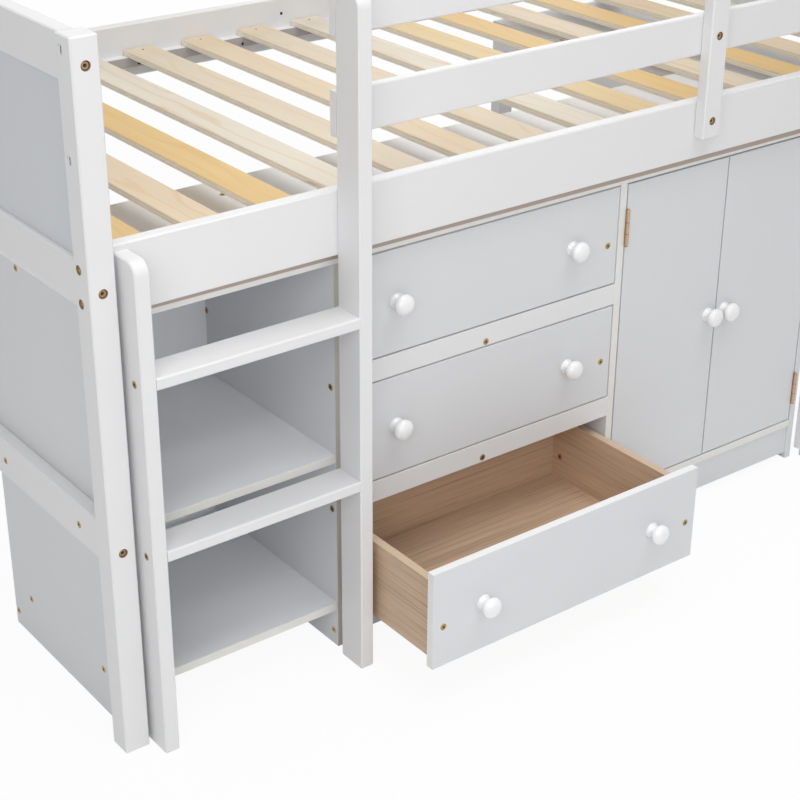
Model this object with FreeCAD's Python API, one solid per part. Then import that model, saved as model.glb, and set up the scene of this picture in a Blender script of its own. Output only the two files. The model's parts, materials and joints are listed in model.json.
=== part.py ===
"""Low loft bed: slatted deck on two panelled ends, ladder, guard rail, cabinet and pull-out desk.

The bed is laid out from its front left corner on the floor: X runs along the bed, Y from front to
back and Z up. Every piece is moved to the middle of the whole footprint when it is saved.
"""
import FreeCAD
import Part
import math
import os
from FreeCAD import Vector

# Overall size and timber sections, in millimetres
LENGTH = 2014.0
WIDTH = 1096.0
HEIGHT = 1140.0
POST = 42.0
EASE = 2.0

# End frames: three rails between the posts and a panel housed in grooves above
END_RAIL_SETBACK = 5.0
END_RAIL_THICK = 25.0
END_RAIL_HEIGHT = 68.0
END_LOW_RAIL_Z = 334.0
END_PANEL_THICK = 9.0
END_PANEL_INSET = 8.0
GROOVE_DEPTH = 8.0
GROOVE_PLAY = 0.3

# Side rails, slat ledgers and slats
RAIL_Z = 733.0
RAIL_THICK = 22.0
RAIL_HEIGHT = 105.0
LEDGER_WIDE = 20.0
LEDGER_HIGH = 20.0
LEDGER_RISE = 44.0
SLAT_COUNT = 14
SLAT_WIDE = 67.0
SLAT_THICK = 12.0
SLAT_FIRST_X = 135.0
SLAT_END_PLAY = 2.0
SLAT_EASE = 1.2

# Ladder
LADDER_X = 50.0
LADDER_CLEAR = 1.5
STILE_WIDE = 24.5
STILE_DEEP = 58.0
SHORT_STILE_DROP = 10.0
STILE_TOP_ROUND = 20.0
STILE_FOOT_ROUND = 5.0
RUNG_COUNT = 2
RUNG_THICK = 19.0
RUNG_FIRST_Z = 344.5
RUNG_RISE = 285.0
RUNG_EASE = 3.0

# Guard rail: two boards behind the tall stile and one post in front of them
GUARD_THICK = 15.0
GUARD_SHARE = 0.2318
GUARD_POST_WIDE = 41.0
GUARD_POST_THICK = 23.0
GUARD_POST_RISE = 40.0
GUARD_POST_BOLT_RISE = 31.0

# Cabinet carcass
BOARD = 15.0
PANEL_EASE = 0.6
CABINET_DEEP = 400.0
CABINET_GAP = 9.0
OPEN_BAY_SHARE = 0.26168
DRAWER_BAY_SHARE = 0.39733
BACK_THICK = 6.0
BOTTOM_Z = 75.0
OPEN_SHELF_Z = 360.0
CUPBOARD_SHELF_Z = 392.0
CUPBOARD_SHELF_SETBACK = 30.0
TOE_GAP = 12.5
SKIRT_SETBACK = 4.0

# Drawers, counted from the top
DRAWER_COUNT = 3
DRAWER_RAIL_HEIGHT = 39.0
FRONT_GAP = 3.0
DRAWER_SIDE_THICK = 15.0
DRAWER_SIDE_INSET = 14.0
DRAWER_SIDE_RISE = 6.0
DRAWER_SIDE_DROP = 29.0
DRAWER_BACK_GAP = 37.0
DRAWER_BOTTOM_THICK = 5.0
DRAWER_BOTTOM_RISE = 14.0
DRAWER_GROOVE = 6.0
RUNNER_HIGH = 15.0
RUNNER_PLAY = 0.3
DRAWER_SHOWN_OPEN = 237.0
KNOB_SPREAD_SHARE = 0.6445

# Turned knobs: a round foot, a waist and a ball head
KNOB_SIDES = 20
KNOB_FOOT_R = 14.0
KNOB_RIM_REACH = 2.0
KNOB_WAIST_R = 9.5
KNOB_WAIST_REACH = 9.0
KNOB_BELL_R = 14.5
KNOB_BELL_REACH = 14.5
KNOB_HEAD_R = 18.3
KNOB_HEAD_REACH = 21.5
KNOB_SHOULDER_R = 15.0
KNOB_SHOULDER_REACH = 28.0
KNOB_CROWN_R = 7.0
KNOB_REACH = 31.0

# Doors and butt hinges
DOOR_KNOB_EDGE = 21.0
HINGE_LONG = 65.0
HINGE_FROM_BOTTOM = 71.0
HINGE_FROM_TOP = 79.0
LEAF_THICK = 0.9
LEAF_WIDE = 20.0
KNUCKLE_R = 3.5
KNUCKLE_PROUD = 4.0
KNUCKLE_COUNT = 3
KNUCKLE_PLAY = 0.4

# Pull-out desk
DESK_GAP = 9.0
DESK_POST_GAP = 25.0
DESK_WIDE = 350.0
DESK_Y = 16.0
DESK_LONG = 1029.0
DESK_DROP = 28.0
DESK_TOP_THICK = 15.0
DESK_LEG_WIDE = 44.0
DESK_LEG_DEEP = 27.0
DESK_FOOT_R = 11.0
DESK_FOOT_HIGH = 20.0
APRON_HIGH = 60.0
APRON_THICK = 15.0
APRON_INSET = 2.0

# Counterbores for the heads of the frame bolts
COUNTERBORE_R = 7.5
COUNTERBORE_DEEP = 7.0
END_BOLT_RISE = 28.0
RAIL_BOLT_SPREAD = 51.0
GUARD_BOLT_SHARE = 0.7

# Places that follow from the sizes above
RAIL_SETBACK = POST - RAIL_THICK
RAIL_TOP_Z = RAIL_Z + RAIL_HEIGHT
LEDGER_TOP_Z = RAIL_Z + LEDGER_RISE
END_MID_RAIL_Z = RAIL_Z + (RAIL_HEIGHT - END_RAIL_HEIGHT) / 2
END_RAIL_Z = (END_LOW_RAIL_Z, END_MID_RAIL_Z, HEIGHT - END_RAIL_HEIGHT)
STILE_Y = RAIL_SETBACK - STILE_DEEP

CABINET_X = END_RAIL_SETBACK + END_RAIL_THICK
CABINET_Y = POST
CABINET_TOP_Z = RAIL_Z - CABINET_GAP
CABINET_BACK_Y = CABINET_Y + CABINET_DEEP
CARCASS_BACK_Y = CABINET_BACK_Y - BACK_THICK
CARCASS_TOP_Z = CABINET_TOP_Z - BOARD
DESK_RIGHT_X = LENGTH - POST - DESK_POST_GAP
DESK_X = DESK_RIGHT_X - DESK_WIDE
RIGHT_PANEL_X = DESK_X - DESK_GAP - BOARD
OPEN_BAY_X = CABINET_X + BOARD
BAYS_WIDE = RIGHT_PANEL_X - OPEN_BAY_X - 2 * BOARD
OPEN_BAY_WIDE = BAYS_WIDE * OPEN_BAY_SHARE
DRAWER_BAY_WIDE = BAYS_WIDE * DRAWER_BAY_SHARE
LEFT_DIVIDER_X = OPEN_BAY_X + OPEN_BAY_WIDE
DRAWER_BAY_X = LEFT_DIVIDER_X + BOARD
RIGHT_DIVIDER_X = DRAWER_BAY_X + DRAWER_BAY_WIDE
CUPBOARD_X = RIGHT_DIVIDER_X + BOARD
CUPBOARD_WIDE = RIGHT_PANEL_X - CUPBOARD_X

TALL_STILE_X = DRAWER_BAY_X + FRONT_GAP - LADDER_CLEAR - STILE_WIDE
GUARD_HEIGHT = (HEIGHT - RAIL_TOP_Z) * GUARD_SHARE
GUARD_GAP = (HEIGHT - RAIL_TOP_Z - 2 * GUARD_HEIGHT) / 2
GUARD_Z = (RAIL_TOP_Z + GUARD_GAP, HEIGHT - GUARD_HEIGHT)
GUARD_POST_MID_X = (TALL_STILE_X + STILE_WIDE + LENGTH - POST) / 2
GUARD_POST_Z = RAIL_Z + GUARD_POST_RISE
LONG_BOLT_Y = RAIL_SETBACK + GUARD_THICK / 2

DRAWER_STACK = CARCASS_TOP_Z - BOTTOM_Z - (DRAWER_COUNT - 1) * DRAWER_RAIL_HEIGHT
DRAWER_OPENING = DRAWER_STACK / DRAWER_COUNT
DRAWER_PITCH = DRAWER_OPENING + DRAWER_RAIL_HEIGHT
DRAWER_FRONT_WIDE = DRAWER_BAY_WIDE - 2 * FRONT_GAP
DRAWER_FRONT_HIGH = DRAWER_OPENING - 2 * FRONT_GAP
DRAWER_KNOB_SPREAD = DRAWER_FRONT_WIDE * KNOB_SPREAD_SHARE
DRAWER_DEEP = CABINET_DEEP - BACK_THICK - BOARD - DRAWER_BACK_GAP
RUNNER_WIDE = FRONT_GAP + DRAWER_SIDE_INSET + DRAWER_SIDE_THICK

DOOR_WIDE = (CUPBOARD_WIDE - 3 * FRONT_GAP) / 2
DOOR_Z = BOTTOM_Z + BOARD + FRONT_GAP
DOOR_TOP_Z = CARCASS_TOP_Z - FRONT_GAP
HINGE_Y = CABINET_Y - KNUCKLE_PROUD
HINGE_X = (CUPBOARD_X + FRONT_GAP / 2, RIGHT_PANEL_X - FRONT_GAP / 2)
HINGE_MID_Z = (DOOR_Z + HINGE_FROM_BOTTOM, DOOR_TOP_Z - HINGE_FROM_TOP)

DESK_TOP_Z = RAIL_Z - DESK_DROP

FRONT_MOST_Y = CABINET_Y - DRAWER_SHOWN_OPEN - KNOB_REACH
ORIGIN = Vector(LENGTH / 2, (FRONT_MOST_Y + WIDTH) / 2, 0)

TOUCH = 1e-6
X_AXIS = Vector(1, 0, 0)
Y_AXIS = Vector(0, 1, 0)
Z_AXIS = Vector(0, 0, 1)


def box(x, y, z):
    """A square-edged piece between pairs of limits along the three axes."""
    return Part.makeBox(x[1] - x[0], y[1] - y[0], z[1] - z[0], Vector(x[0], y[0], z[0]))


def span(start, size):
    """The pair of limits that begins at start and is size long."""
    return (start, start + size)


def around(middle, size):
    """The pair of limits that has middle at its centre and is size long."""
    return (middle - size / 2, middle + size / 2)


def rod(radius, start, axis, length):
    """A round bar or drilling."""
    return Part.makeCylinder(radius, length, start, axis)


def edges_along(shape, axis):
    """The straight edges of a shape that run along an axis."""
    found = []
    for edge in shape.Edges:
        run = edge.Vertexes[-1].Point - edge.Vertexes[0].Point
        if run.cross(axis).Length < TOUCH:
            found.append(edge)
    return found


def near(first, second):
    """Whether two lengths are the same."""
    return abs(first - second) < TOUCH


def eased_board(x, y, z, axis):
    """A planed board with its four long edges broken."""
    board = box(x, y, z)
    return board.makeChamfer(EASE, edges_along(board, axis))


def panel(x, y, z, ease=PANEL_EASE):
    """A square piece with all its sharp edges broken."""
    sheet = box(x, y, z)
    return sheet.makeChamfer(ease, sheet.Edges)


def mirrored_x(shape):
    """The same piece at the other end of the bed."""
    return shape.mirror(Vector(LENGTH / 2, 0, 0), X_AXIS)


def mirrored_y(shape):
    """The same piece at the other side of the bed."""
    return shape.mirror(Vector(0, WIDTH / 2, 0), Y_AXIS)


def counterbore(face, axis):
    """The round recess that a bolt head is sunk in."""
    return rod(COUNTERBORE_R, face, axis, COUNTERBORE_DEEP)


def end_bolt_faces():
    """Where bolts enter the front left post to hold the three end rails."""
    return [Vector(POST / 2, 0, z + END_BOLT_RISE) for z in END_RAIL_Z]


def rail_bolt_faces():
    """Where bolts enter the front left post to hold the side rail."""
    return [Vector(0, LONG_BOLT_Y, z) for z in around(RAIL_Z + RAIL_HEIGHT / 2, RAIL_BOLT_SPREAD)]


def guard_bolt_faces():
    """Where bolts enter a front post to hold the ends of the guard boards."""
    return [Vector(0, LONG_BOLT_Y, z + GUARD_HEIGHT * GUARD_BOLT_SHARE) for z in GUARD_Z]


def panel_limits(play=0.0):
    """Thickness, width and height of the end panel in its grooves, or of the slot round it."""
    reach = GROOVE_DEPTH - GROOVE_PLAY + play
    x = span(END_RAIL_SETBACK + END_PANEL_INSET, END_PANEL_THICK)
    x = (x[0] - play, x[1] + play)
    y = (POST - reach, WIDTH - POST + reach)
    z = (END_MID_RAIL_Z + END_RAIL_HEIGHT - reach, HEIGHT - END_RAIL_HEIGHT + reach)
    return x, y, z


def corner_post(guarded):
    """The front left post, drilled for its rails and grooved for the end panel."""
    post = panel((0, POST), (0, POST), (0, HEIGHT), EASE)
    for face in end_bolt_faces():
        post = post.cut(counterbore(face, Y_AXIS))
    for face in rail_bolt_faces() + (guard_bolt_faces() if guarded else []):
        post = post.cut(counterbore(face, X_AXIS))
    return post.cut(box(*panel_limits(GROOVE_PLAY)))


def end_rail(bottom, grooved):
    """One rail of the left end, grooved where the panel enters it."""
    x = span(END_RAIL_SETBACK, END_RAIL_THICK)
    rail = eased_board(x, (POST, WIDTH - POST), span(bottom, END_RAIL_HEIGHT), Y_AXIS)
    return rail.cut(box(*panel_limits(GROOVE_PLAY))) if grooved else rail


def bed_ends():
    """Posts, rails and panels of both ends."""
    low, mid, top = END_RAIL_Z
    left = {
        "front_left_post": corner_post(guarded=True),
        "back_left_post": mirrored_y(corner_post(guarded=False)),
        "left_low_rail": end_rail(low, grooved=False),
        "left_mid_rail": end_rail(mid, grooved=True),
        "left_top_rail": end_rail(top, grooved=True),
        "left_end_panel": box(*panel_limits()),
    }
    right = {name.replace("left", "right"): mirrored_x(shape) for name, shape in left.items()}
    return {**left, **right}


def guard_post_faces():
    """Where bolts enter the guard post: one for the side rail and one for each guard board."""
    y = RAIL_SETBACK - GUARD_POST_THICK
    heights = [GUARD_POST_Z + GUARD_POST_BOLT_RISE] + [z + GUARD_HEIGHT / 2 for z in GUARD_Z]
    return [Vector(GUARD_POST_MID_X, y, z) for z in heights]


def side_rails():
    """Both side rails, and the ledgers fixed along their inner faces."""
    y = span(RAIL_SETBACK, RAIL_THICK)
    rail = eased_board((POST, LENGTH - POST), y, span(RAIL_Z, RAIL_HEIGHT), X_AXIS)
    ledger_y = span(RAIL_SETBACK + RAIL_THICK, LEDGER_WIDE)
    ledger = box((POST, LENGTH - POST), ledger_y, (LEDGER_TOP_Z - LEDGER_HIGH, LEDGER_TOP_Z))
    return {
        "front_side_rail": rail,
        "back_side_rail": mirrored_y(rail),
        "slat_ledgers": Part.makeCompound([ledger, mirrored_y(ledger)]),
    }


def bed_slats():
    """Slats laid across the ledgers at an even pitch."""
    pitch = (LENGTH - 2 * SLAT_FIRST_X) / (SLAT_COUNT - 1)
    start = RAIL_SETBACK + RAIL_THICK + SLAT_END_PLAY
    slats = []
    for index in range(SLAT_COUNT):
        x = around(SLAT_FIRST_X + index * pitch, SLAT_WIDE)
        y = (start, WIDTH - start)
        slats.append(panel(x, y, span(LEDGER_TOP_Z, SLAT_THICK), SLAT_EASE))
    return {"bed_slats": Part.makeCompound(slats)}


def ladder_stile(x, top):
    """One side of the ladder, cut to a rounded front at its head and rounded corners at its foot."""
    side = box(span(x, STILE_WIDE), (STILE_Y, RAIL_SETBACK), (0, top))
    across = edges_along(side, X_AXIS)
    feet = [edge for edge in across if near(edge.CenterOfMass.z, 0)]
    side = side.makeFillet(STILE_FOOT_ROUND, feet)
    middle_y = RAIL_SETBACK - STILE_DEEP / 2
    across = edges_along(side, X_AXIS)
    crown = [edge for edge in across if near(edge.CenterOfMass.z, top) and edge.CenterOfMass.y < middle_y]
    side = side.makeFillet(STILE_TOP_ROUND, crown)
    outline = [edge for edge in side.Edges if edge.BoundBox.XLength < EASE]
    return side.makeChamfer(EASE, outline)


def ladder():
    """A short and a tall stile with the rungs between them."""
    x = (LADDER_X + STILE_WIDE, TALL_STILE_X)
    rungs = []
    for index in range(RUNG_COUNT):
        z = span(RUNG_FIRST_Z + index * RUNG_RISE, RUNG_THICK)
        tread = box(x, (STILE_Y, RAIL_SETBACK), z)
        nosing = [edge for edge in edges_along(tread, X_AXIS) if near(edge.CenterOfMass.y, STILE_Y)]
        rungs.append(tread.makeFillet(RUNG_EASE, nosing))
    return {
        "ladder_left_stile": ladder_stile(LADDER_X, RAIL_TOP_Z - SHORT_STILE_DROP),
        "ladder_right_stile": ladder_stile(TALL_STILE_X, HEIGHT),
        "ladder_rungs": Part.makeCompound(rungs),
    }


def guard_board(bottom):
    """One guard board from the tall stile to the right post."""
    y = span(RAIL_SETBACK, GUARD_THICK)
    return eased_board((TALL_STILE_X, LENGTH - POST), y, span(bottom, GUARD_HEIGHT), X_AXIS)


def guard_rail():
    """Both guard boards and the post that ties them to the side rail."""
    y = span(RAIL_SETBACK - GUARD_POST_THICK, GUARD_POST_THICK)
    post = panel(around(GUARD_POST_MID_X, GUARD_POST_WIDE), y, (GUARD_POST_Z, HEIGHT), EASE)
    for face in guard_post_faces():
        post = post.cut(counterbore(face, Y_AXIS))
    lower, upper = [guard_board(z) for z in GUARD_Z]
    return {"guard_lower_board": lower, "guard_upper_board": upper, "guard_post": post}


def carcass():
    """The cabinet: two sides, two dividers, a top, a back and the fixed boards between them."""
    full = (CABINET_Y, CABINET_BACK_Y)
    inner = (CABINET_Y, CARCASS_BACK_Y)
    under_top = (0, CARCASS_TOP_Z)
    inside = (OPEN_BAY_X, RIGHT_PANEL_X)
    open_bay = span(OPEN_BAY_X, OPEN_BAY_WIDE)
    drawer_bay = span(DRAWER_BAY_X, DRAWER_BAY_WIDE)
    cupboard = span(CUPBOARD_X, CUPBOARD_WIDE)
    rails = []
    for index in range(1, DRAWER_COUNT):
        z = span(CARCASS_TOP_Z - index * DRAWER_PITCH, DRAWER_RAIL_HEIGHT)
        rails.append(panel(drawer_bay, span(CABINET_Y, BOARD), z))
    skirt_y = span(CABINET_Y + SKIRT_SETBACK, BOARD)
    skirts = [panel(bay, skirt_y, (TOE_GAP, BOTTOM_Z)) for bay in (drawer_bay, cupboard)]
    shelf_y = (CABINET_Y + CUPBOARD_SHELF_SETBACK, CARCASS_BACK_Y)
    return {
        "cabinet_left_panel": panel(span(CABINET_X, BOARD), full, (0, CABINET_TOP_Z)),
        "cabinet_left_divider": panel(span(LEFT_DIVIDER_X, BOARD), inner, under_top),
        "cabinet_right_divider": panel(span(RIGHT_DIVIDER_X, BOARD), inner, under_top),
        "cabinet_right_panel": panel(span(RIGHT_PANEL_X, BOARD), full, (0, CABINET_TOP_Z)),
        "cabinet_top": panel(inside, full, (CARCASS_TOP_Z, CABINET_TOP_Z)),
        "cabinet_back": box(inside, (CARCASS_BACK_Y, CABINET_BACK_Y), (TOE_GAP, CARCASS_TOP_Z)),
        "open_bay_bottom": panel(open_bay, inner, span(BOTTOM_Z, BOARD)),
        "open_bay_shelf": panel(open_bay, inner, span(OPEN_SHELF_Z, BOARD)),
        "drawer_rails": Part.makeCompound(rails),
        "toe_skirts": Part.makeCompound(skirts),
        "cupboard_bottom": panel(cupboard, inner, span(BOTTOM_Z, BOARD)),
        "cupboard_shelf": panel(cupboard, shelf_y, span(CUPBOARD_SHELF_Z, BOARD)),
    }


def drawer_front_z(index):
    """Height of the bottom edge of a drawer front, counted from the top one."""
    return CARCASS_TOP_Z - index * DRAWER_PITCH - DRAWER_OPENING + FRONT_GAP


def drawer_runners():
    """Wooden cleats on both dividers that the drawer sides slide on."""
    y = (CABINET_Y + BOARD + SKIRT_SETBACK, CARCASS_BACK_Y)
    left = span(DRAWER_BAY_X, RUNNER_WIDE)
    right = (RIGHT_DIVIDER_X - RUNNER_WIDE, RIGHT_DIVIDER_X)
    cleats = []
    for index in range(DRAWER_COUNT):
        top = drawer_front_z(index) + DRAWER_SIDE_RISE - RUNNER_PLAY
        cleats += [box(x, y, (top - RUNNER_HIGH, top)) for x in (left, right)]
    return {"drawer_runners": Part.makeCompound(cleats)}


def knob_ring(radius, reach):
    """Corners of a fine regular outline across a knob, at its reach from the front."""
    step = 2 * math.pi / KNOB_SIDES
    turns = [index * step for index in range(KNOB_SIDES)]
    return [Vector(radius * math.cos(turn), -reach, radius * math.sin(turn)) for turn in turns]


def flat_face(corners):
    """A flat face between corners."""
    return Part.Face(Part.makePolygon(corners + corners[:1]))


def knob(x, z, face_y):
    """A turned knob standing on a front, faced with narrow flats from its foot to its crown."""
    rings = [
        knob_ring(KNOB_FOOT_R, 0),
        knob_ring(KNOB_FOOT_R, KNOB_RIM_REACH),
        knob_ring(KNOB_WAIST_R, KNOB_WAIST_REACH),
        knob_ring(KNOB_BELL_R, KNOB_BELL_REACH),
        knob_ring(KNOB_HEAD_R, KNOB_HEAD_REACH),
        knob_ring(KNOB_SHOULDER_R, KNOB_SHOULDER_REACH),
        knob_ring(KNOB_CROWN_R, KNOB_REACH),
    ]
    faces = [flat_face(rings[0]), flat_face(rings[-1])]
    for inner, outer in zip(rings, rings[1:]):
        for index in range(KNOB_SIDES):
            faces.append(flat_face([inner[index - 1], inner[index], outer[index], outer[index - 1]]))
    turned = Part.Solid(Part.Shell(faces))
    turned.translate(Vector(x, face_y, z))
    return turned


def drawer(index):
    """One drawer: front, two sides with a back between them, grooved-in bottom and two knobs."""
    opened = DRAWER_SHOWN_OPEN if index == DRAWER_COUNT - 1 else 0
    face = CABINET_Y - opened
    z = drawer_front_z(index)
    front_x = span(DRAWER_BAY_X + FRONT_GAP, DRAWER_FRONT_WIDE)
    outer = (front_x[0] + DRAWER_SIDE_INSET, front_x[1] - DRAWER_SIDE_INSET)
    inner = (outer[0] + DRAWER_SIDE_THICK, outer[1] - DRAWER_SIDE_THICK)
    box_y = span(face + BOARD, DRAWER_DEEP)
    box_z = (z + DRAWER_SIDE_RISE, z + DRAWER_FRONT_HIGH - DRAWER_SIDE_DROP)
    floor_z = span(box_z[0] + DRAWER_BOTTOM_RISE, DRAWER_BOTTOM_THICK)
    groove = box((inner[0] - DRAWER_GROOVE, inner[1] + DRAWER_GROOVE), box_y, floor_z)
    reach = DRAWER_GROOVE - GROOVE_PLAY
    bottom = box((inner[0] - reach, inner[1] + reach), box_y, floor_z)
    sides = [box(x, box_y, box_z).cut(groove) for x in ((outer[0], inner[0]), (inner[1], outer[1]))]
    back = box(inner, (box_y[1] - DRAWER_SIDE_THICK, box_y[1]), (floor_z[1], box_z[1]))
    spots = around(sum(front_x) / 2, DRAWER_KNOB_SPREAD)
    knobs = [knob(x, z + DRAWER_FRONT_HIGH / 2, face) for x in spots]
    name = "drawer_%d_" % (index + 1)
    return {
        name + "front": panel(front_x, span(face, BOARD), span(z, DRAWER_FRONT_HIGH)),
        name + "box": Part.makeCompound(sides + [back]),
        name + "bottom": bottom,
        name + "knobs": Part.makeCompound(knobs),
    }


def hinge_leaf(axis_x, side, middle_z, fixed):
    """One leaf of a butt hinge with its knuckles; side is +1 or -1 along X from the pin."""
    z = middle_z - HINGE_LONG / 2
    wall = axis_x + side * FRONT_GAP / 2
    plate_x = sorted((wall, wall - side * LEAF_THICK))
    leaf = box(plate_x, span(CABINET_Y, LEAF_WIDE), span(z, HINGE_LONG))
    pitch = HINGE_LONG / KNUCKLE_COUNT
    for index in range(KNUCKLE_COUNT):
        if fixed == (index % 2 == 0):
            knuckle = span(z + index * pitch + KNUCKLE_PLAY / 2, pitch - KNUCKLE_PLAY)
            strap = box(plate_x, (HINGE_Y, CABINET_Y), knuckle)
            roll = rod(KNUCKLE_R, Vector(axis_x, HINGE_Y, knuckle[0]), Z_AXIS, pitch - KNUCKLE_PLAY)
            leaf = leaf.fuse(strap).fuse(roll)
    return leaf.removeSplitter()


def doors():
    """Two inset doors, each on two butt hinges, with a knob beside the meeting edge."""
    y = span(CABINET_Y, BOARD)
    z = (DOOR_Z, DOOR_TOP_Z)
    left_x = span(CUPBOARD_X + FRONT_GAP, DOOR_WIDE)
    right_x = span(left_x[1] + FRONT_GAP, DOOR_WIDE)
    knob_z = (DOOR_Z + DOOR_TOP_Z) / 2
    frame_leaves = []
    door_leaves = {-1: [], 1: []}
    for axis_x, side in zip(HINGE_X, (-1, 1)):
        for middle_z in HINGE_MID_Z:
            frame_leaves.append(hinge_leaf(axis_x, side, middle_z, fixed=True))
            door_leaves[side].append(hinge_leaf(axis_x, -side, middle_z, fixed=False))
    return {
        "left_door": panel(left_x, y, z),
        "right_door": panel(right_x, y, z),
        "left_door_knob": knob(left_x[1] - DOOR_KNOB_EDGE, knob_z, CABINET_Y),
        "right_door_knob": knob(right_x[0] + DOOR_KNOB_EDGE, knob_z, CABINET_Y),
        "hinge_frame_leaves": Part.makeCompound(frame_leaves),
        "left_hinge_leaves": Part.makeCompound(door_leaves[-1]),
        "right_hinge_leaves": Part.makeCompound(door_leaves[1]),
    }


def desk():
    """The desk stowed beside the cabinet: top, legs, aprons between the legs and round feet."""
    left, right = DESK_X, DESK_RIGHT_X
    front, back = span(DESK_Y, DESK_LONG)
    under = DESK_TOP_Z - DESK_TOP_THICK
    legs = []
    feet = []
    for x in (left, right - DESK_LEG_WIDE):
        for y in (front, back - DESK_LEG_DEEP):
            stock = (span(x, DESK_LEG_WIDE), span(y, DESK_LEG_DEEP), (DESK_FOOT_HIGH, under))
            legs.append(eased_board(*stock, Z_AXIS))
            middle = Vector(x + DESK_LEG_WIDE / 2, y + DESK_LEG_DEEP / 2, 0)
            feet.append(rod(DESK_FOOT_R, middle, Z_AXIS, DESK_FOOT_HIGH))
    apron_z = (under - APRON_HIGH, under)
    long_y = (front + DESK_LEG_DEEP, back - DESK_LEG_DEEP)
    short_x = (left + DESK_LEG_WIDE, right - DESK_LEG_WIDE)
    long_starts = (left + APRON_INSET, right - APRON_INSET - APRON_THICK)
    short_starts = (front + APRON_INSET, back - APRON_INSET - APRON_THICK)
    aprons = [box(span(x, APRON_THICK), long_y, apron_z) for x in long_starts]
    aprons += [box(short_x, span(y, APRON_THICK), apron_z) for y in short_starts]
    return {
        "desk_top": panel((left, right), (front, back), (under, DESK_TOP_Z)),
        "desk_legs": Part.makeCompound(legs),
        "desk_aprons": Part.makeCompound(aprons),
        "desk_feet": Part.makeCompound(feet),
    }


def build():
    """Every piece of the bed by name, laid out from the front left corner."""
    groups = [bed_ends(), side_rails(), bed_slats(), ladder(), guard_rail()]
    groups += [carcass(), drawer_runners()]
    groups += [drawer(index) for index in range(DRAWER_COUNT)]
    groups += [doors(), desk()]
    pieces = {}
    for group in groups:
        pieces.update(group)
    return pieces


os.makedirs("parts", exist_ok=True)
for node, shape in build().items():
    placed = shape.copy()
    placed.translate(-ORIGIN)
    placed.exportStep("parts/%s.step" % node)
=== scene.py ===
"""Finishes, small fasteners and studio for the low loft bed."""
import json
import math

import bmesh
import bpy
from mathutils import Matrix, Vector


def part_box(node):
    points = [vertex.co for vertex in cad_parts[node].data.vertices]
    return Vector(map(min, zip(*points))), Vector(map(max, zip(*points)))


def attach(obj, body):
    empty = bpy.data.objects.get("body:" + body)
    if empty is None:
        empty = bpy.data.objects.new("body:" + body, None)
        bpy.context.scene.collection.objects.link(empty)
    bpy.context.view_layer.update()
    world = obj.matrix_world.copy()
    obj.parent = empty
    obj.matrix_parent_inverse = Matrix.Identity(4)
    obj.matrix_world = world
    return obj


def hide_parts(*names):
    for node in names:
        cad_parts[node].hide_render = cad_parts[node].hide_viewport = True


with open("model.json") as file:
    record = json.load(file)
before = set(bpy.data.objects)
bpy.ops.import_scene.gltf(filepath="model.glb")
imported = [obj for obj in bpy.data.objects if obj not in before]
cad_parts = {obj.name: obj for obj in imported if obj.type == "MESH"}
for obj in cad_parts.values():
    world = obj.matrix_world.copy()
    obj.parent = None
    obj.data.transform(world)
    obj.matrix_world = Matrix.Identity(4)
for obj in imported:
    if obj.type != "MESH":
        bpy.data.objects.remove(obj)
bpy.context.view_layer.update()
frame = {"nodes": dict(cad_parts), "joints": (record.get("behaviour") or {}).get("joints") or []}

bl_info = {
    "name": "Low loft bed finish",
    "version": (1, 0, 0),
    "blender": (4, 5, 0),
    "location": "View3D > Sidebar > Loft bed",
    "description": "Paints the bed, adds its knobs, bolts, screws and nails, and sets up the studio",
    "category": "Object",
}

AXES = {"x": 0, "y": 1, "z": 2}
ENDS = {"left": -1, "right": 1}
SIDES = {"front": -1, "back": 1}
END_RAIL_LEVELS = ("low", "mid", "top")
GUARD_BOARDS = ("guard_lower_board", "guard_upper_board")
DRAWERS = (1, 2, 3)
UP = Vector((0, 0, 1))
FORWARDS = Vector((0, -1, 0))
BACKWARDS = Vector((0, 1, 0))

# Slats from the left end: their tones, the height of two plies, and the least step between corners
SLAT_TONES = (
    "amber", "peach", "amber", "pale", "beige", "peach", "beige",
    "pale", "honey", "amber", "beige", "amber", "peach", "beige",
)
SLAT_COUNT = len(SLAT_TONES)
TWO_PLIES = 0.0048
CORNER_STEP = 0.0005

# A face looks along an axis where that part of its direction passes this share
FACING = 0.5

# Painted shade on the front edge of the cabinet top: a brown strip that stands for the shadowed gap
# under the side rail. The share of the edge below it at the left end, and how much less that is at
# the right end
GAP_SHADE_START = 0.64
GAP_SHADE_DROP = 0.30

# Angles in degrees below which two faces are smoothed into one
CRISP = 35.0
ROUND = 60.0

# Frame bolts on the posts and on the guard post, in metres or as a share of a guard board's height
END_BOLT_RISE = 0.028
RAIL_BOLT_SPREAD = 0.051
LONG_BOLT_INSET = 0.0275
GUARD_BOLT_SHARE = 0.7
GUARD_POST_BOLT_RISE = 0.031

# What sits in a bolt recess: lengths in metres, tops out of the face of the post, turns in degrees
RECESS_PLAY = 0.0002
LINING_WALL = 0.0006
BOLT_TOP = -0.0022
PLUG_TOP = -0.0012
PLUG_EASE = 0.0006
PLUG_SLOT_TURNS = (90.0,)
PLUG_SLOT_REACH = 0.0052
PLUG_SLOT_HALF = 0.0011

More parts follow.
